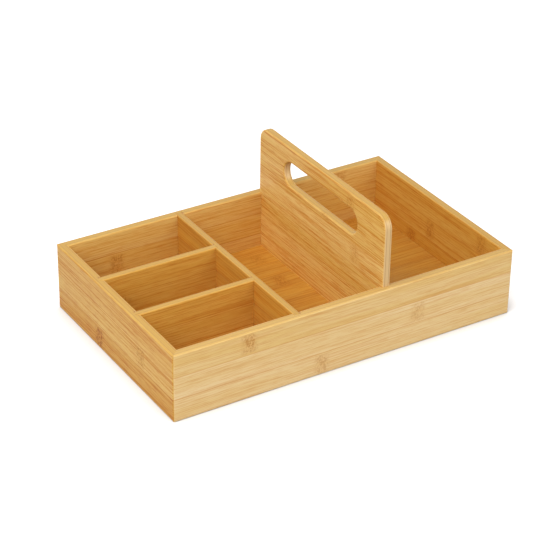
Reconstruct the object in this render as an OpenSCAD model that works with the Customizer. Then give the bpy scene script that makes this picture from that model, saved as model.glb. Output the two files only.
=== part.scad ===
// Desk organizer in laminated bamboo: an open box on four mitred walls,
// split into five bays, with a tall handle board down its middle.
// X runs along the box, Y from front to back, and Z up from the table.

/* [Box] */
// Length of the box over its end walls
box_l = 360; // [330:1:440]
// Width of the box over its front and back walls
box_w = 222; // [190:1:300]
// Height of the four walls
wall_h = 68; // [50:1:90]
// Thickness of the four walls
wall_t = 8.5; // [6:0.5:12]
// Radius of the box's upright corners
corner_r = 2; // [0.5:0.5:4]
// Radius of the eased edges
edge_r = 1.5; // [0.5:0.25:2.5]

/* [Base panel] */
// Thickness of the base panel
base_t = 5; // [3:0.5:8]
// Height of the base panel's underside above the table
base_up = 4; // [2:0.5:10]

/* [Handle board] */
// Thickness of the handle board
handle_t = 8; // [6:0.5:12]
// Height of the handle board's top edge above the table
handle_h = 138; // [120:1:180]
// Radius of the handle board's two top corners
handle_r = 13; // [6:1:20]
// Length of the grip slot over its round ends
grip_l = 124; // [90:1:150]
// Height of the grip slot
grip_h = 25; // [20:0.5:35]
// Depth of the bar left above the grip slot
grip_bar = 15.5; // [10:0.5:25]
// Radius of the grip slot's eased edges
grip_edge_r = 2; // [0.5:0.25:2.5]

/* [Bays] */
// Thickness of the dividers
divider_t = 7; // [5:0.5:10]
// Clear length of the three bays on the left
left_bay_l = 115; // [90:1:130]
// Clear length of the bay on the right
right_bay_l = 127; // [100:1:140]
// Clear width of the front bay on the left
front_bay_w = 65; // [50:1:75]
// Clear width of the back bay on the left
back_bay_w = 65; // [50:1:75]

/* [Joinery] */
// Depth of the grooves in the walls
groove_d = 4; // [2:0.5:5]
// Depth of the two grooves in the main divider
cross_groove_d = 2; // [1:0.5:2.5]
// Gap left on each side of a glued joint
slip = 0.1; // [0.05:0.05:0.25]
// Thickness of the splines across the mitres
spline_t = 2; // [1:0.25:2.5]
// Width of the splines across the mitres
spline_w = 8; // [5:0.5:9]
// Wood left above and below each spline
spline_stop = 14; // [11:0.5:20]
// Distance of each spline in from the middle of the wall's thickness
spline_inset = 1; // [0:0.25:1]

/* [Screws] */
// Shank diameter of the base screws
screw_d = 3.5; // [3:0.25:4]
// Head diameter of the base screws
screw_head_d = 7; // [6:0.25:8]
// Length of the base screws
screw_l = 20; // [14:1:30]
// Depth of the screw heads below the base panel's underside
screw_sink = 0.5; // [0.25:0.25:1]

/* [Hidden] */
$fn = 48;

// Reach of a cutter past the face that it cuts
over = 1;
inner_l = box_l - 2 * wall_t;
inner_w = box_w - 2 * wall_t;
base_top = base_up + base_t;

// Places of the boards, each at the middle of its thickness
main_x = -inner_l / 2 + left_bay_l + divider_t / 2;
handle_x = inner_l / 2 - right_bay_l - handle_t / 2;
front_cross_y = -inner_w / 2 + front_bay_w + divider_t / 2;
back_cross_y = inner_w / 2 - back_bay_w - divider_t / 2;

// Length of a board that stands in the grooves of the front and back walls
housed_w = inner_w + 2 * (groove_d - slip);

// The cross dividers run from the left wall's groove to the main divider's
cross_from = -inner_l / 2 - groove_d + slip;
cross_to = main_x - divider_t / 2 + cross_groove_d - slip;

// Grip slot
grip_z = handle_h - grip_bar - grip_h / 2;

// Distance of a spline's middle in from the two outer faces at its corner
spline_in = wall_t / 2 + spline_inset;

// Screws stand under the two long boards, at the middle of each left bay
screw_ys = [
    -inner_w / 2 + front_bay_w / 2,
    (front_cross_y + back_cross_y) / 2,
    inner_w / 2 - back_bay_w / 2];
screw_z = base_up + screw_sink;
screw_head_h = (screw_head_d - screw_d) / 2;
screw_tip_l = 3;
screw_tip_d = 0.8;
recess_l = 4;
recess_w = 0.9;
recess_d = 1.4;

bamboo = [0.86, 0.68, 0.42];
bamboo_light = [0.89, 0.73, 0.48];
bamboo_dark = [0.78, 0.57, 0.32];
steel = [0.72, 0.72, 0.70];

// Board section with four eased edges, its first corner at the origin
module eased_section(w, h, r) {
    translate([r, 0]) square([w - 2 * r, h]);
    translate([0, r]) square([w, h - 2 * r]);
    for (x = [r, w - r], y = [r, h - r])
        translate([x, y]) circle(r);
}

// Section of an upright board, centred on x, with only its top edges eased
module upright_section(w, h, r) {
    translate([-w / 2, 0]) square([w, h - r]);
    translate([-w / 2 + r, 0]) square([w - 2 * r, h]);
    for (x = [-w / 2 + r, w / 2 - r])
        translate([x, h - r]) circle(r);
}

// Lays a section's x along Y, its y along Z, and its length along X
module along_x(length) {
    rotate([90, 0, 90]) linear_extrude(length, center = true) children();
}

// Lays a section's x along X, its y along Z, and its length along Y
module along_y(length) {
    rotate([90, 0, 0]) linear_extrude(length, center = true) children();
}

module outer_outline() {
    translate([-box_l / 2, -box_w / 2]) eased_section(box_l, box_w, corner_r);
}

// One mitred wall on the -Y side, before its grooves are cut
module mitred_board(length, reach) {
    translate([0, -reach, 0])
        intersection() {
            along_x(length) eased_section(wall_t, wall_h, edge_r);
            linear_extrude(wall_h)
                polygon([[-length / 2, 0], [length / 2, 0],
                    [length / 2 - wall_t, wall_t], [-length / 2 + wall_t, wall_t]]);
        }
}

// The groove round the inside of the walls that takes the base panel
module base_groove() {
    translate([-inner_l / 2 - groove_d, -inner_w / 2 - groove_d, base_up])
        cube([inner_l + 2 * groove_d, inner_w + 2 * groove_d, base_t + slip]);
}

// Upright grooves across the box, for the two long boards
module long_grooves() {
    for (board = [[main_x, divider_t], [handle_x, handle_t]])
        translate([board[0] - board[1] / 2 - slip, -inner_w / 2 - groove_d, base_top])
            cube([board[1] + 2 * slip, inner_w + 2 * groove_d, wall_h]);
}

// Upright grooves along the box, from the left wall to the main divider
module cross_grooves() {
    for (y = [front_cross_y, back_cross_y])
        translate([cross_from - slip, y - divider_t / 2 - slip, base_top])
            cube([cross_to - cross_from + 2 * slip, divider_t + 2 * slip, wall_h]);
}

// A flat tongue across the mitre of the corner at the signs given
module spline_at(side_x, side_y, gap) {
    translate([side_x * (box_l / 2 - spline_in), side_y * (box_w / 2 - spline_in),
            spline_stop - gap])
        rotate([0, 0, side_x * side_y * 45])
            translate([-spline_t / 2 - gap, -spline_w / 2 - gap, 0])
                cube([spline_t + 2 * gap, spline_w + 2 * gap,
                    wall_h - 2 * spline_stop + 2 * gap]);
}

module spline_slots() {
    for (side_x = [-1, 1], side_y = [-1, 1])
        spline_at(side_x, side_y, slip);
}

// A wall turned to its side of the box and rounded to the box's corners
module wall(turn, length, reach) {
    difference() {
        intersection() {
            rotate([0, 0, turn]) mitred_board(length, reach);
            linear_extrude(wall_h) outer_outline();
        }
        base_groove();
        spline_slots();
        children();
    }
}

module front_wall() {
    color(bamboo_light) wall(0, box_l, box_w / 2) long_grooves();
}

module back_wall() {
    color(bamboo_light) wall(180, box_l, box_w / 2) long_grooves();
}

module left_wall() {
    color(bamboo) wall(-90, box_w, box_l / 2) cross_grooves();
}

module right_wall() {
    color(bamboo) wall(90, box_w, box_l / 2);
}

// Hole for one screw: a seat for its head and a bore for its shank
module screw_hole() {
    head = screw_head_d + 2 * slip;
    bore = screw_d + 2 * slip;
    translate([0, 0, base_up - over]) cylinder(d = head, h = screw_sink + over);
    translate([0, 0, screw_z]) cylinder(d1 = head, d2 = bore, h = screw_head_h);
    translate([0, 0, screw_z]) cylinder(d = bore, h = screw_l + slip);
}

module screw_holes(x) {
    for (y = screw_ys)
        translate([x, y, 0]) screw_hole();
}

module base_panel() {
    length = inner_l + 2 * (groove_d - slip);
    color(bamboo)
        difference() {
            translate([-length / 2, -housed_w / 2, base_up])
                cube([length, housed_w, base_t]);
            screw_holes(main_x);
            screw_holes(handle_x);
        }
}

// Space outside a board's eased top corner, as a ring about the corner's centre
module corner_ring() {
    reach = handle_r + over;
    rotate([0, 90, 0])
        rotate_extrude()
            difference() {
                translate([0, -handle_t / 2 - over]) square([2 * reach, handle_t + 2 * over]);
                rotate(-90) upright_section(handle_t, handle_r, edge_r);
            }
}

// Cuts the round corner at one end of the handle board, and eases its edges
module corner_cut(side) {
    reach = handle_r + over;
    translate([0, side * (housed_w / 2 - handle_r), handle_h - handle_r])
        intersection() {
            corner_ring();
            translate([-handle_t, side > 0 ? 0 : -reach, 0])
                cube([2 * handle_t, reach, reach]);
        }
}

// Eases the upright edges at one end of the handle board, above the walls
module end_cut(side) {
    translate([0, side * housed_w / 2, wall_h])
        rotate([0, 0, side > 0 ? 0 : 180])
            linear_extrude(handle_h - handle_r - wall_h)
                difference() {
                    translate([-handle_t, -edge_r]) square([2 * handle_t, edge_r + over]);
                    translate([0, -2 * edge_r])
                        upright_section(handle_t, 2 * edge_r, edge_r);
                }
}

// Eases the long top edges of the handle board
module top_cut() {
    translate([0, 0, handle_h])
        along_y(housed_w - 2 * handle_r)
            difference() {
                translate([-handle_t, -edge_r]) square([2 * handle_t, edge_r + over]);
                translate([0, -2 * edge_r])
                    upright_section(handle_t, 2 * edge_r, edge_r);
            }
}

// Half section of the grip slot, with its edges flared open
module grip_section() {
    depth = 2 * grip_edge_r;
    difference() {
        translate([0, -handle_t / 2 - over])
            square([grip_h / 2 + grip_edge_r, handle_t + 2 * over]);
        translate([grip_h / 2 + depth, 0])
            rotate(90) upright_section(handle_t, depth, grip_edge_r);
    }
}

// The grip slot: two round ends and the straight length between them
module grip_cut() {
    straight = grip_l - grip_h;
    translate([0, 0, grip_z]) {
        for (side = [-1, 1])
            translate([0, side * straight / 2, 0])
                rotate([0, 90, 0]) rotate_extrude() grip_section();
        along_y(straight)
            for (turn = [-90, 90])
                rotate(turn) grip_section();
    }
}

module handle_board() {
    color(bamboo)
        difference() {
            translate([handle_x, 0, 0])
                difference() {
                    translate([-handle_t / 2, -housed_w / 2, base_top])
                        cube([handle_t, housed_w, handle_h - base_top]);
                    top_cut();
                    for (side = [-1, 1]) {
                        end_cut(side);
                        corner_cut(side);
                    }
                    grip_cut();
                }
            screw_holes(handle_x);
        }
}

module main_divider() {
    color(bamboo_dark)
        difference() {
            translate([main_x, 0, base_top])
                along_y(housed_w) upright_section(divider_t, wall_h - base_top, edge_r);
            cross_grooves();
            screw_holes(main_x);
        }
}

module cross_divider(y) {
    color(bamboo_dark)
        translate([(cross_from + cross_to) / 2, y, base_top])
            along_x(cross_to - cross_from)
                upright_section(divider_t, wall_h - base_top, edge_r);
}

module front_cross_divider() {
    cross_divider(front_cross_y);
}

module back_cross_divider() {
    cross_divider(back_cross_y);
}

module front_left_spline() {
    color(bamboo_dark) spline_at(-1, -1, 0);
}

module front_right_spline() {
    color(bamboo_dark) spline_at(1, -1, 0);
}

module back_left_spline() {
    color(bamboo_dark) spline_at(-1, 1, 0);
}

module back_right_spline() {
    color(bamboo_dark) spline_at(1, 1, 0);
}

// One countersunk screw, head down, with a cross recess
module screw() {
    shank_l = screw_l - screw_head_h - screw_tip_l;
    difference() {
        union() {
            cylinder(d1 = screw_head_d, d2 = screw_d, h = screw_head_h);
            translate([0, 0, screw_head_h]) cylinder(d = screw_d, h = shank_l);
            translate([0, 0, screw_head_h + shank_l])
                cylinder(d1 = screw_d, d2 = screw_tip_d, h = screw_tip_l);
        }
        for (turn = [0, 90])
            rotate([0, 0, turn])
                translate([-recess_l / 2, -recess_w / 2, -over])
                    cube([recess_l, recess_w, recess_d + over]);
    }
}

module base_screws() {
    color(steel)
        for (x = [main_x, handle_x], y = screw_ys)
            translate([x, y, screw_z]) screw();
}

front_wall();
back_wall();
left_wall();
right_wall();
base_panel();
handle_board();
main_divider();
front_cross_divider();
back_cross_divider();
front_left_spline();
front_right_spline();
back_left_spline();
back_right_spline();
base_screws();
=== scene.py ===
# %% [markdown]
# # A bamboo desk organizer
#
# The real object is an open box of laminated bamboo with a tall handle board down its middle.
# Every board already stands in the frame at its true size, with its grooves, mitres and eased
# edges. What is left is the finish: bamboo is easy to recognise, so the boards need its strips,
# its fibres and its knuckles, each running the way that the board was cut.

# %% Load the frame
import math

import bpy
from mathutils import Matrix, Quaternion, Vector


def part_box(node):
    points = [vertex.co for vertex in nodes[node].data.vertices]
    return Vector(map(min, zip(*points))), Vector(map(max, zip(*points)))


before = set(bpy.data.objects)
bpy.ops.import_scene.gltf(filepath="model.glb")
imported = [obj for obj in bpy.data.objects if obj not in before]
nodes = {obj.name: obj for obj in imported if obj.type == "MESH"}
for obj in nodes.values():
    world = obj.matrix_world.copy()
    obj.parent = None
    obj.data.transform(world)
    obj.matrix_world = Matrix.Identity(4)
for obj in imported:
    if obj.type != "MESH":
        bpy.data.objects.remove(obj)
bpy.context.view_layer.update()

MM = 0.001
print("boards and screws:", sorted(nodes))

# %% [markdown]
# ## The camera
#
# The photograph was taken with a long lens from the front left, looking down at about thirty
# degrees. A camera can be placed by eye, but here the edges of the box were fitted first, which
# gives its place, its two angles, a slight roll and the lens. It is written as those plain values.

# %% Place the camera
CAMERA_PLACE = Vector((-853.9, -1347.2, 978.3)) * MM
CAMERA_AZIMUTH = math.radians(-32.05)
CAMERA_ELEVATION = math.radians(30.53)
CAMERA_ROLL = math.radians(0.99)
CAMERA_LENS = 130.0


def towards(azimuth, elevation):
    """The direction from the object to an eye or a lamp at these angles, in radians."""
    level = math.cos(elevation)
    return Vector((math.sin(azimuth) * level, -math.cos(azimuth) * level, math.sin(elevation)))


def add_camera():
    camera = bpy.data.objects.new("camera", bpy.data.cameras.new("camera"))
    bpy.context.scene.collection.objects.link(camera)
    camera.data.lens = CAMERA_LENS
    camera.data.clip_start = 0.05
    camera.data.clip_end = 50
    camera.location = CAMERA_PLACE
    camera.rotation_mode = "QUATERNION"
    aim = towards(CAMERA_AZIMUTH, CAMERA_ELEVATION).to_track_quat("Z", "Y")
    camera.rotation_quaternion = aim @ Quaternion((0, 0, 1), CAMERA_ROLL)
    bpy.context.scene.camera = camera
    return camera


print("camera stands", round(add_camera().location.length, 3), "m from the origin")

# %% [markdown]
# ## Small tools for shader nodes
#
# A wood finish is mostly arithmetic on a point's place in the board. Wiring that by hand takes
# many lines, so a few helpers each add one node, set or link its inputs, and hand back its output.

# %% Helpers that add one shader node each


def feed(tree, value, socket):
    """Links a socket to another, or writes a plain value into it."""
    if isinstance(value, bpy.types.NodeSocket):
        tree.links.new(value, socket)
    else:
        socket.default_value = value


def maths(tree, operation, *values):
    node = tree.nodes.new("ShaderNodeMath")
    node.operation = operation
    for value, socket in zip(values, node.inputs):
        feed(tree, value, socket)
    return node.outputs[0]


def step_between(tree, value, low, high, at_low=0.0, at_high=1.0):
    """A soft step from at_low to at_high as value goes from low to high."""
    node = tree.nodes.new("ShaderNodeMapRange")
    node.interpolation_type = "SMOOTHSTEP"
    for name, number in (("Value", value), ("From Min", low), ("From Max", high),
                         ("To Min", at_low), ("To Max", at_high)):
        feed(tree, number, node.inputs[name])
    return node.outputs["Result"]


def point(tree, x, y, z):
    node = tree.nodes.new("ShaderNodeCombineXYZ")
    for value, socket in zip((x, y, z), node.inputs):
        feed(tree, value, socket)
    return node.outputs[0]


def split_axes(tree, vector):
    """The outputs X, Y and Z of a vector."""
    node = tree.nodes.new("ShaderNodeSeparateXYZ")
    feed(tree, vector, node.inputs[0])
    return node.outputs


def noise(tree, vector, detail=2.0, roughness=0.5, distortion=0.0):
    """A noise from 0 to 1, whose scale is set by the vector that it is given."""
    node = tree.nodes.new("ShaderNodeTexNoise")
    feed(tree, vector, node.inputs["Vector"])
    node.inputs["Scale"].default_value = 1.0
    node.inputs["Detail"].default_value = detail
    node.inputs["Roughness"].default_value = roughness
    node.inputs["Distortion"].default_value = distortion
    return node.outputs["Fac"]


def mix_colours(tree, share, first, second, how="MIX"):
    """Lays the second colour over the first, by share or by tinting with how="MULTIPLY"."""
    # This node has sockets for numbers, vectors and colours, and these are the ones for colours
    node = tree.nodes.new("ShaderNodeMix")
    node.data_type = "RGBA"
    node.blend_type = how
    feed(tree, share, node.inputs[0])
    feed(tree, first, node.inputs[6])
    feed(tree, second, node.inputs[7])
    return node.outputs[2]


print("node helpers ready")

# %% [markdown]
# A group and a material each need a few lines to begin. Every group here takes and gives plain
# numbers, so its sockets are listed by name alone.

# %% Helpers that begin a group or a material
NUMBER = "NodeSocketFloat"


def new_group(name, inputs, outputs):
    """A node group with named number sockets, and its two end nodes."""
    group = bpy.data.node_groups.new(name, "ShaderNodeTree")
    for label, value in inputs.items():
        socket = group.interface.new_socket(label, in_out="INPUT", socket_type=NUMBER)
        socket.default_value = value
    for label in outputs:
        group.interface.new_socket(label, in_out="OUTPUT", socket_type=NUMBER)
    given = group.nodes.new("NodeGroupInput").outputs
    made = group.nodes.new("NodeGroupOutput").inputs
    return group, given, made


def place_group(tree, group, **values):
    """Places a group, with an underscore for each space in the names of its inputs."""
    node = tree.nodes.new("ShaderNodeGroup")
    node.node_tree = group
    for name, value in values.items():
        feed(tree, value, node.inputs[name.replace("_", " ")])
    return node.outputs


def new_material(name):
    material = bpy.data.materials.new(name)
    material.use_nodes = True
    tree = material.node_tree
    return material, tree, tree.nodes["Principled BSDF"]


def put_on(piece, material):
    slots = nodes[piece].data.materials
    slots.clear()
    slots.append(material)


print("group and material helpers ready")

# %% [markdown]
# ## Where a point lies in the bamboo
#
# A laminated board is glued from strips about 23 mm wide, side by side. Three of them make the
# height of a wall. Each strip came from another cane, so its tone and its fibres start afresh at
# each glue line. The first group works out which strip a point is in, a random number for that
# strip, and how far the nearest glue line is. A table of strips would do the same, but a group
# that divides and rounds down works for a board of any height.

# %% Node group: strips
STRIP_WIDTH = 68 * MM / 3


def make_strips_group():
    group, given, made = new_group(
        "Bamboo strips", {"Across": 0, "Strip width": STRIP_WIDTH, "Seed": 0},
        ("Row", "Chance", "From glue line"))
    turns = maths(group, "DIVIDE", given["Across"], given["Strip width"])
    row = maths(group, "FLOOR", turns)
    inside = maths(group, "SUBTRACT", turns, row)
    to_edge = maths(group, "MINIMUM", inside, maths(group, "SUBTRACT", 1.0, inside))
    chance = group.nodes.new("ShaderNodeTexWhiteNoise")
    chance.noise_dimensions = "2D"
    # Half a row further on, so that rounding never picks a neighbour's number
    feed(group, point(group, maths(group, "ADD", row, 0.5), given["Seed"], 0.0),
         chance.inputs["Vector"])
    feed(group, row, made["Row"])
    feed(group, chance.outputs["Value"], made["Chance"])
    feed(group, maths(group, "MULTIPLY", to_edge, given["Strip width"]), made["From glue line"])
    return group


strips_group = make_strips_group()
print("strip width", round(STRIP_WIDTH / MM, 1), "mm")

# %% [markdown]
# ## Fibres
#
# Bamboo has no growth rings. What shows are bundles of fibre: long, thin, slightly darker threads
# that run along the strip and drift a few millimetres to the side on the way. A noise that is
# squeezed across the strip and stretched along it gives them. Three of these at different widths
# are used together: hair-fine threads, streaks a few millimetres wide, and a slow change of tone.

# %% Node group: fibres
# Noise units per metre along the strip and across it, the noise's detail, and where the soft
# step that sharpens it starts and ends
FIBRE_LAYERS = {
    "Threads": (70, 1300, 2, 0.48, 0.64),
    "Streaks": (9, 820, 3, 0.49, 0.62),
    "Tone": (5, 120, 2, 0.36, 0.64),
}
DRIFT = 4 * MM
DRIFT_PER_METRE = 6.0
SHIFT_PER_STRIP = 37.0


def make_fibres_group():
    group, given, made = new_group(
        "Bamboo fibres", {"Along": 0, "Across": 0, "Through": 0, "Chance": 0, "Seed": 0},
        FIBRE_LAYERS)
    shift = maths(group, "MULTIPLY_ADD", given["Chance"], SHIFT_PER_STRIP, given["Seed"])
    wander = noise(group, point(
        group, maths(group, "MULTIPLY", given["Along"], DRIFT_PER_METRE), shift, 0.0))
    across = maths(group, "MULTIPLY_ADD", wander, DRIFT, given["Across"])
    for name, (along_scale, across_scale, detail, low, high) in FIBRE_LAYERS.items():
        x = maths(group, "MULTIPLY_ADD", given["Along"], along_scale, shift)
        y = maths(group, "MULTIPLY_ADD", across, across_scale, shift)
        z = maths(group, "MULTIPLY", given["Through"], across_scale)
        layer = noise(group, point(group, x, y, z), detail)
        feed(group, step_between(group, layer, low, high), made[name])
    return group


fibres_group = make_fibres_group()
print("fibre layers:", ", ".join(FIBRE_LAYERS))

# %% [markdown]
# ## Knuckles
#
# Every 30 cm or so a cane has a joint. Sawn and planed, it leaves a mottled brown patch about
# 13 mm long that fills the width of its strip, where short flecks of fibre swirl to all sides. The
# group takes the place of the knuckle in three neighbouring strips, because the eye remembers
# where they are, and repeats them down the board with a shift for every further set of three.

# %% Node group: knuckles
KNUCKLE_PITCH = 330 * MM
KNUCKLE_HALF = 6.5 * MM
# A knuckle is full up to the first share of its half length, and has faded out at the second
KNUCKLE_FADE = (0.3, 1.6)
KNUCKLE_MARGIN = (0.2 * MM, 4.0 * MM)
KNUCKLE_STRIPS = ("First strip", "Second strip", "Third strip")
# Each further set of three strips has its knuckles this much further along
SET_SHIFT = KNUCKLE_PITCH * 0.37
BEND = 5 * MM
BEND_PER_METRE = 180.0
FLECKS_ALONG, FLECKS_ACROSS = 480.0, 320.0
FLECK_STEP = (0.44, 0.60)


def make_knuckle_group():
    inputs = {"Along": 0, "Across": 0, "Row": 0, "From glue line": 0, "Seed": 0}
    inputs.update({strip: 0 for strip in KNUCKLE_STRIPS})
    group, given, made = new_group("Bamboo knuckles", inputs, ("Patch", "Flecks"))
    count = float(len(KNUCKLE_STRIPS))
    sets = maths(group, "FLOOR", maths(group, "DIVIDE", given["Row"], count))
    turn = maths(group, "SUBTRACT", given["Row"], maths(group, "MULTIPLY", sets, count))
    place = maths(group, "MULTIPLY", sets, SET_SHIFT)
    for index, strip in enumerate(KNUCKLE_STRIPS):
        chosen = maths(group, "COMPARE", turn, float(index), 0.5)
        place = maths(group, "MULTIPLY_ADD", chosen, given[strip], place)

    # The middle line of a knuckle bends to and fro over the width of its strip
    wander = noise(group, point(
        group, given["Seed"], maths(group, "MULTIPLY", given["Across"], BEND_PER_METRE), 0.0))
    bent = maths(group, "MULTIPLY_ADD", wander, BEND, given["Along"])
    turns = maths(group, "DIVIDE", maths(group, "SUBTRACT", bent, place), KNUCKLE_PITCH)
    nearest = maths(group, "SUBTRACT", turns, maths(group, "ROUND", turns))
    off = maths(group, "ABSOLUTE", maths(group, "MULTIPLY", nearest, KNUCKLE_PITCH))
    full, gone = (KNUCKLE_HALF * share for share in KNUCKLE_FADE)
    body = step_between(group, off, full, gone, 1.0, 0.0)
    patch = maths(group, "MULTIPLY", body,
                  step_between(group, given["From glue line"], *KNUCKLE_MARGIN))

    spots = noise(group, point(group, maths(group, "MULTIPLY", given["Along"], FLECKS_ALONG),
                               maths(group, "MULTIPLY", given["Across"], FLECKS_ACROSS),
                               given["Seed"]), detail=4.0, roughness=0.6, distortion=1.0)
    flecks = step_between(group, spots, *FLECK_STEP)
    feed(group, patch, made["Patch"])
    feed(group, maths(group, "MULTIPLY", patch, flecks), made["Flecks"])
    return group


knuckle_group = make_knuckle_group()
print("knuckles", round(2 * KNUCKLE_HALF / MM), "mm long, every", round(KNUCKLE_PITCH / MM), "mm")

# %% [markdown]
# ## Plies on the edges
#
# Seen from its edge, a board shows how it was pressed: a core between two outer layers, with a
# thin dark glue line each side. On a flat face the distance from the middle of the thickness is
# constant, so a mask made from it draws nothing there and appears only where the edge is cut.

# %% Node group: plies
# The glue lines lie this share of the thickness off the middle
PLY_LINE_AT = 0.24
PLY_LINE_SOFT = (0.1 * MM, 0.55 * MM)
PLY_WANDER = 0.3 * MM
PLY_WANDER_PER_METRE = 12.0
CORE_FADE = 0.8


def make_ply_group():
    group, given, made = new_group(
        "Board plies", {"Through": 0, "Middle": 0, "Thickness": 8 * MM, "Along": 0},
        ("Glue line", "Core"))
    wander = noise(group, point(
        group, maths(group, "MULTIPLY", given["Along"], PLY_WANDER_PER_METRE), 0.0,
        given["Middle"]))
    shift = maths(group, "MULTIPLY_ADD", wander, 2 * PLY_WANDER, -PLY_WANDER)
    from_middle = maths(group, "SUBTRACT", given["Through"], given["Middle"])
    off = maths(group, "ABSOLUTE", maths(group, "ADD", shift, from_middle))
    line_at = maths(group, "MULTIPLY", given["Thickness"], PLY_LINE_AT)
    from_line = maths(group, "ABSOLUTE", maths(group, "SUBTRACT", off, line_at))
    feed(group, step_between(group, from_line, *PLY_LINE_SOFT, 1.0, 0.0), made["Glue line"])
    feed(group, step_between(group, off, maths(group, "MULTIPLY", line_at, CORE_FADE), line_at,
                             1.0, 0.0), made["Core"])
    return group


ply_group = make_ply_group()
print("plies: glue lines", PLY_LINE_AT, "of the thickness off the middle")

# %% [markdown]
# ## The bamboo finish
#
# Each board gets its own material, because its fibres run along its own length and its knuckles
# are its own. The four groups are placed in it with that board's values. The board's long axis is
# given, and its thickness and the middle of that thickness are read from its box in the frame, so
# the finish follows the part. All masks are kept in one table, and each later step takes the ones
# that it needs.

# %% Masks of one board
AXES = "XYZ"


def board_masks(tree, board, along, through, seed, knuckles):
    """The masks of all four groups, and how far the surface faces along each of its own axes."""
    low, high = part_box(board)
    level = AXES.index(through)
    thickness = high[level] - low[level]
    across = AXES.replace(along, "").replace(through, "")
    place = split_axes(tree, tree.nodes.new("ShaderNodeTexCoord").outputs["Object"])
    normal = split_axes(tree, tree.nodes.new("ShaderNodeNewGeometry").outputs["Normal"])
    run, rise, depth = (place[axis] for axis in (along, across, through))
    first, second, third = (millimetres * MM for millimetres in knuckles)

    strips = place_group(tree, strips_group, Across=rise, Strip_width=STRIP_WIDTH, Seed=seed)
    fibres = place_group(tree, fibres_group, Along=run, Across=rise, Through=depth,
                         Chance=strips["Chance"], Seed=seed)
    knots = place_group(tree, knuckle_group, Along=run, Across=rise, Row=strips["Row"],
                        From_glue_line=strips["From glue line"], First_strip=first,
                        Second_strip=second, Third_strip=third, Seed=seed)
    plies = place_group(tree, ply_group, Through=depth, Middle=(low[level] + high[level]) / 2,
                        Thickness=thickness, Along=run)

    masks = {socket.name: socket for group in (strips, fibres, knots, plies) for socket in group}
    for name, axis in (("Facing along", along), ("Facing across", across),
                       ("Facing through", through)):
        masks[name] = maths(tree, "ABSOLUTE", normal[axis])
    print(board, "fibres along", along, "thickness", round(thickness / MM, 1), "mm")
    return masks


# %% [markdown]
# ### Colour of the faces
#
# Two tones of cane are mixed by the strip's own chance and by the slow change along it. Streaks
# and threads lie over them as a brown tint, and so do the glue lines between the strips. Streaks
# fade in a knuckle, where the fibres turn to all sides, and darker strips get darker knuckles. A
# tint that multiplies is better here than a brown that covers, because it keeps the cane's tone.

# %% Colour of the faces
FIBRE_TINT = (0.80, 0.52, 0.25, 1)
KNUCKLE_TINT = (0.58, 0.33, 0.12, 1)
TONE_BY_STRIP, TONE_BY_PLACE = 0.7, 0.35
STREAK_SHARE, THREAD_SHARE = 0.75, 0.55
CALM_IN_KNUCKLE = 0.8
SEAM_SOFT = (0.1 * MM, 0.6 * MM)
SEAM_SHARE = 0.7
# A face that lies across the strips, such as the top of a wall, may fall exactly on a glue line
# and would be tinted all over, so the line fades as a face turns that way
SEAM_TURN = (0.3, 0.7)
PALEST_KNUCKLE = 0.5
HAZE_SHARE = 0.35


def seam_mask(tree, masks):
    """The glue lines between the strips."""
    line = step_between(tree, masks["From glue line"], *SEAM_SOFT, SEAM_SHARE, 0.0)
    crossing = step_between(tree, masks["Facing across"], *SEAM_TURN, 1.0, 0.0)
    return maths(tree, "MULTIPLY", line, crossing)


def face_colour(tree, masks, seam, pale, deep, fibre, mottle):
    by_place = maths(tree, "MULTIPLY", masks["Tone"], TONE_BY_PLACE)
    tone = maths(tree, "MULTIPLY_ADD", masks["Chance"], TONE_BY_STRIP, by_place)
    calm = maths(tree, "MULTIPLY_ADD", masks["Patch"], -CALM_IN_KNUCKLE, 1.0)
    streaks = maths(tree, "MULTIPLY", masks["Streaks"],
                    maths(tree, "MULTIPLY", calm, STREAK_SHARE * fibre))
    threads = maths(tree, "MULTIPLY", masks["Threads"], THREAD_SHARE * fibre)
    strength = maths(tree, "MULTIPLY_ADD", masks["Chance"], 1.0 - PALEST_KNUCKLE, PALEST_KNUCKLE)
    haze = maths(tree, "MULTIPLY", maths(tree, "MULTIPLY", masks["Patch"], HAZE_SHARE), strength)
    flecks = maths(tree, "MULTIPLY", maths(tree, "MULTIPLY", masks["Flecks"], mottle), strength)
    colour = mix_colours(tree, tone, pale, deep)
    for share, tint in ((streaks, FIBRE_TINT), (threads, FIBRE_TINT), (seam, FIBRE_TINT),
                        (haze, FIBRE_TINT), (flecks, KNUCKLE_TINT)):
        colour = mix_colours(tree, share, colour, tint, "MULTIPLY")
    return colour


print("face colour ready")

# %% [markdown]
# ### Colour of the sawn edges
#
# The cut edges of all boards look alike, whatever their faces do: a little darker than the face of
# a pale board, and paler and greyer on an end, where the fibres are cut square. The plies show
# there. The surface normal tells where an edge is, which works on round corners and in the grip
# slot too. The edge tone also covers about half of each eased arris, partly for the cut fibres
# there and partly as painted shade that keeps the arris from shining brighter than the top.

# %% Colour of the sawn edges
SAWN_AND_SHADED_EDGE = (0.60, 0.37, 0.10, 1)
SAWN_END = (0.77, 0.54, 0.28, 1)
CORE = (0.55, 0.335, 0.085, 1)
GLUE = (0.42, 0.22, 0.08, 1)
EDGE_SHARE, END_SHARE, CORE_SHARE, GLUE_SHARE = 0.7, 0.75, 0.5, 0.6
# How far a face is turned from the board's flat side, or towards its end, when each one starts
# and ends to show
# The edge tone is at about half strength on a 45 degree eased arris: partly its cut fibres, partly
# painted shade against the light that the arris catches
EDGE_TURN = (0.6, 0.9)
PLY_TURN = (0.35, 0.75)
END_TURN = (0.6, 0.9)


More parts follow.
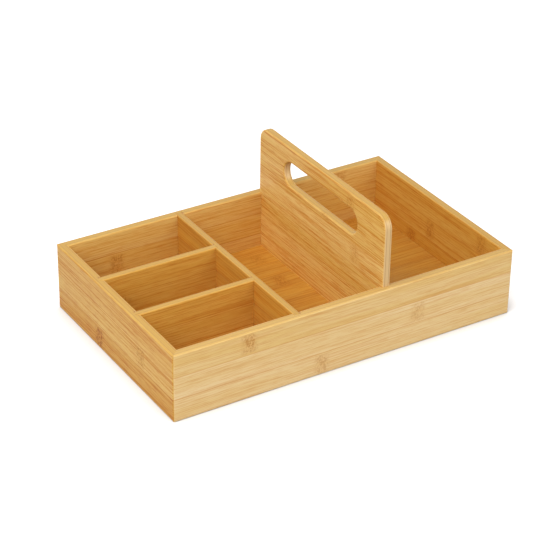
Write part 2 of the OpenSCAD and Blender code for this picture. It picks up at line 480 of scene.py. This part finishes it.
def edge_colour(tree, masks, colour):
    """Lays the colours of the cut edges over the colour of the faces."""
    flat = masks["Facing through"]
    edge = step_between(tree, flat, *EDGE_TURN, EDGE_SHARE, 0.0)
    end = step_between(tree, masks["Facing along"], *END_TURN, 0.0, END_SHARE)
    open_plies = step_between(tree, flat, *PLY_TURN, 1.0, 0.0)
    core = maths(tree, "MULTIPLY", open_plies,
                 maths(tree, "MULTIPLY", masks["Core"], CORE_SHARE))
    glue = maths(tree, "MULTIPLY", open_plies,
                 maths(tree, "MULTIPLY", masks["Glue line"], GLUE_SHARE))
    for share, layer in ((edge, SAWN_AND_SHADED_EDGE), (core, CORE), (end, SAWN_END), (glue, GLUE)):
        colour = mix_colours(tree, share, colour, layer)
    return colour


print("edge colour ready")

# %% [markdown]
# ### Lacquer and relief
#
# The lacquer is satin, with weak reflections, and a little duller on streaks and knuckles. The
# fibres and the glue lines can be felt under it, so a small bump lets them catch the light.

# %% Lacquer, relief and the whole finish
SATIN = 0.40
DULL_STREAKS, DULL_FLECKS = 0.10, 0.08
LACQUER_SPECULAR = 0.2
THREAD_DEPTH, SEAM_DEPTH, FLECK_DEPTH = 0.5, 0.6, 0.4
BUMP_STRENGTH = 0.25
BUMP_DISTANCE = 0.15 * MM


def add_lacquer(tree, shader, masks, seam):
    rough = maths(tree, "MULTIPLY_ADD", masks["Streaks"], DULL_STREAKS, SATIN)
    feed(tree, maths(tree, "MULTIPLY_ADD", masks["Flecks"], DULL_FLECKS, rough),
         shader.inputs["Roughness"])
    shader.inputs["Specular IOR Level"].default_value = LACQUER_SPECULAR
    height = maths(tree, "MULTIPLY", seam, -SEAM_DEPTH)
    height = maths(tree, "MULTIPLY_ADD", masks["Threads"], -THREAD_DEPTH, height)
    height = maths(tree, "MULTIPLY_ADD", masks["Flecks"], -FLECK_DEPTH, height)
    bump = tree.nodes.new("ShaderNodeBump")
    bump.inputs["Strength"].default_value = BUMP_STRENGTH
    bump.inputs["Distance"].default_value = BUMP_DISTANCE
    feed(tree, height, bump.inputs["Height"])
    feed(tree, bump.outputs["Normal"], shader.inputs["Normal"])


def bamboo_finish(board, along, through, pale, deep, seed, knuckles, fibre, mottle):
    """A bamboo material for one board, whose fibres run along one axis of the frame."""
    material, tree, shader = new_material("bamboo_" + board)
    masks = board_masks(tree, board, along, through, seed, knuckles)
    seam = seam_mask(tree, masks)
    colour = face_colour(tree, masks, seam, pale, deep, fibre, mottle)
    feed(tree, edge_colour(tree, masks, colour), shader.inputs["Base Color"])
    add_lacquer(tree, shader, masks, seam)
    put_on(board, material)


print("bamboo finish ready")

# %% [markdown]
# ## Dress the boards
#
# The front wall is the palest. The back wall and the handle board are honey and gold, the left
# and right walls are warmer, and the low dividers and the base are the warmest. The gold of the
# handle board is partly its own tone and partly painted light, a lighter tone that stands in for
# light bouncing inside the bays. The deep amber and toast of the base and the main divider are
# partly their own tone and partly painted shade, the shade that falls deep in the bays. The
# knuckles on the two walls that face the camera stand where the photograph shows them, and a
# place beyond the end of a board leaves that strip without one. The four splines are hidden in
# the mitres, but they get the same bamboo.

# %% Finish of each board
PALE = (0.88, 0.66, 0.35, 1)
# Partly painted light: only the handle board uses this lighter gold, which stands in for light
# bounced inside the bays
LIT_GOLD = (0.85, 0.57, 0.20, 1)
HONEY = (0.79, 0.525, 0.175, 1)
STRAW = (0.77, 0.50, 0.14, 1)
WARM = (0.75, 0.455, 0.105, 1)
AMBER = (0.66, 0.34, 0.05, 1)
# The deepest tone, partly painted shade: only the base and the main divider use it, darkened for
# the shade deep inside the bays
SHADED_TOAST = (0.54, 0.26, 0.045, 1)

# The axes along the fibres and through the thickness, two tones, a seed, the places of the
# knuckles in three strips in mm, and how strongly fibres and knuckles show
BOARDS = {
    "front_wall": ("X", "Y", PALE, HONEY, 1.0, (-27, 76.5, -102), 0.55, 0.7),
    "back_wall": ("X", "Y", HONEY, WARM, 2.0, (60, -120, 130), 0.8, 0.6),
    "left_wall": ("Y", "X", STRAW, AMBER, 4.8, (30, -49, 140), 1.1, 1.2),
    "right_wall": ("Y", "X", WARM, AMBER, 4.0, (40, 10, -71), 0.9, 0.6),
    # The base is deep amber and toast, partly its own tone and partly painted shade of the bays
    "base_panel": ("X", "Z", AMBER, SHADED_TOAST, 5.0, (-100, 20, 120), 0.7, 0.6),
    # The handle board's lighter gold is partly its own tone and partly painted light
    "handle_board": ("Y", "X", LIT_GOLD, WARM, 6.0, (150, -130, 160), 1.1, 0.6),
    # The main divider likewise: partly its own tone, partly painted shade of the bays
    "main_divider": ("Y", "X", AMBER, SHADED_TOAST, 7.0, (-60, 50, 120), 0.7, 0.6),
    "front_cross_divider": ("X", "Y", WARM, AMBER, 8.0, (-140, 20, 60), 0.8, 0.6),
    "back_cross_divider": ("X", "Y", WARM, AMBER, 9.0, (-90, -150, 60), 0.8, 0.6),
}
SPLINES = ("front_left_spline", "front_right_spline", "back_left_spline", "back_right_spline")
FIRST_SPLINE_SEED = 10.0
NO_KNUCKLES = (200, 200, 200)

for number, spline in enumerate(SPLINES):
    BOARDS[spline] = ("Z", "X", WARM, AMBER, FIRST_SPLINE_SEED + number, NO_KNUCKLES, 0.6, 0.6)
for board, values in BOARDS.items():
    bamboo_finish(board, *values)

# %% [markdown]
# ## The screws
#
# The six screws under the base are plain zinc-plated steel. Rolled threads and stamped heads are
# never quite even, so one fine noise varies both the tone of the plating and its roughness.

# %% Screw steel
BRIGHT_ZINC = (0.66, 0.66, 0.63, 1)
DULL_ZINC = (0.50, 0.50, 0.49, 1)
ZINC_GRAIN = 0.8 * MM
ZINC_STEP = (0.2, 0.8)
ZINC_ROUGHNESS = (0.25, 0.5)


def screw_finish():
    material, tree, shader = new_material("screw_steel")
    spot = tree.nodes.new("ShaderNodeVectorMath")
    spot.operation = "SCALE"
    spot.inputs["Scale"].default_value = 1 / ZINC_GRAIN
    feed(tree, tree.nodes.new("ShaderNodeTexCoord").outputs["Object"], spot.inputs[0])
    dull = noise(tree, spot.outputs[0], detail=3.0)
    feed(tree, mix_colours(tree, dull, BRIGHT_ZINC, DULL_ZINC), shader.inputs["Base Color"])
    feed(tree, step_between(tree, dull, *ZINC_STEP, *ZINC_ROUGHNESS), shader.inputs["Roughness"])
    shader.inputs["Metallic"].default_value = 1.0
    put_on("base_screws", material)
    return material


print("screws in", screw_finish().name)

# %% [markdown]
# ## Floor, background and light
#
# The photograph is cut out on pure white, with only a thin soft shadow where the box meets the
# surface. A floor lit brightly enough to turn white would flood the object with light, so the
# extra brightness is seen only by the camera and in reflections, and what bounces back onto the
# boards is a darker white. The shadow survives, because that extra is added to the lit floor and
# doesn't replace it. It also fades within about two centimetres of the box, where less of the sky
# is open, which paints a darker contact shadow there on top of the lamps' own shadow.

# %% Floor
FLOOR_SIZE = 6.0
FLOOR_LIFT = 0.50
SEEN_WHITE = (0.80, 0.80, 0.80, 1)
BOUNCE_WHITE = (0.40, 0.38, 0.35, 1)
CONTACT_REACH = 22 * MM
CONTACT_FALL = 2.6


def seen_directly(tree):
    """1 in rays from the camera and through glass or gloss, and 0 in rays that only light."""
    rays = tree.nodes.new("ShaderNodeLightPath").outputs
    seen = maths(tree, "MAXIMUM", rays["Is Camera Ray"], rays["Is Glossy Ray"])
    return maths(tree, "MAXIMUM", seen, rays["Is Transmission Ray"])


def white_surface():
    material, tree, principled = new_material("white_surface")
    tree.nodes.remove(principled)
    seen = seen_directly(tree)
    paper = tree.nodes.new("ShaderNodeBsdfDiffuse")
    feed(tree, mix_colours(tree, seen, BOUNCE_WHITE, SEEN_WHITE), paper.inputs["Color"])
    # Painted contact shadow: ambient occlusion near the box dims the extra white that the camera
    # sees, on top of the lamps' own shadow
    contact = tree.nodes.new("ShaderNodeAmbientOcclusion")
    contact.inputs["Distance"].default_value = CONTACT_REACH
    open_share = maths(tree, "POWER", contact.outputs["AO"], CONTACT_FALL)
    lift = tree.nodes.new("ShaderNodeEmission")
    feed(tree, maths(tree, "MULTIPLY", seen, maths(tree, "MULTIPLY", open_share, FLOOR_LIFT)),
         lift.inputs["Strength"])
    both = tree.nodes.new("ShaderNodeAddShader")
    feed(tree, paper.outputs[0], both.inputs[0])
    feed(tree, lift.outputs[0], both.inputs[1])
    feed(tree, both.outputs[0], tree.nodes["Material Output"].inputs["Surface"])
    return material


def add_floor():
    half = FLOOR_SIZE / 2
    mesh = bpy.data.meshes.new("floor")
    corners = [(-half, -half, 0), (half, -half, 0), (half, half, 0), (-half, half, 0)]
    mesh.from_pydata(corners, [], [(0, 1, 2, 3)])
    mesh.materials.append(white_surface())
    floor = bpy.data.objects.new("floor", mesh)
    bpy.context.scene.collection.objects.link(floor)
    return floor


print("floor", tuple(round(side, 2) for side in add_floor().dimensions))

# %% [markdown]
# The world gives even light from all round, as in a white tent, and a camera ray that misses the
# floor sees plain white. A large soft lamp high on the left lights the end wall, the handle board
# and the inside of the bays, and a weaker one in front lifts the long wall above them.

# %% World and lamps
SKY_LIGHT = 0.55


def light_world():
    world = bpy.data.worlds.new("white_tent")
    bpy.context.scene.world = world
    world.use_nodes = True
    tree = world.node_tree
    sky = tree.nodes["Background"]
    sky.inputs["Color"].default_value = (1, 1, 1, 1)
    feed(tree, maths(tree, "MULTIPLY_ADD", seen_directly(tree), 1.0 - SKY_LIGHT, SKY_LIGHT),
         sky.inputs["Strength"])


def add_lamp(name, azimuth, elevation, distance, size, watts):
    """A square soft lamp that faces the origin, with its angles in degrees."""
    data = bpy.data.lights.new(name, "AREA")
    data.shape = "SQUARE"
    data.size = size
    data.energy = watts
    lamp = bpy.data.objects.new(name, data)
    bpy.context.scene.collection.objects.link(lamp)
    direction = towards(math.radians(azimuth), math.radians(elevation))
    lamp.location = direction * distance
    lamp.rotation_mode = "QUATERNION"
    lamp.rotation_quaternion = direction.to_track_quat("Z", "Y")
    print(name, "at", [round(v, 2) for v in lamp.location])


light_world()
add_lamp("left_softbox", azimuth=-65, elevation=53, distance=1.6, size=1.3, watts=19.5)
add_lamp("front_softbox", azimuth=20, elevation=28, distance=1.6, size=1.0, watts=6.2)
bpy.context.scene.view_settings.view_transform = "Standard"
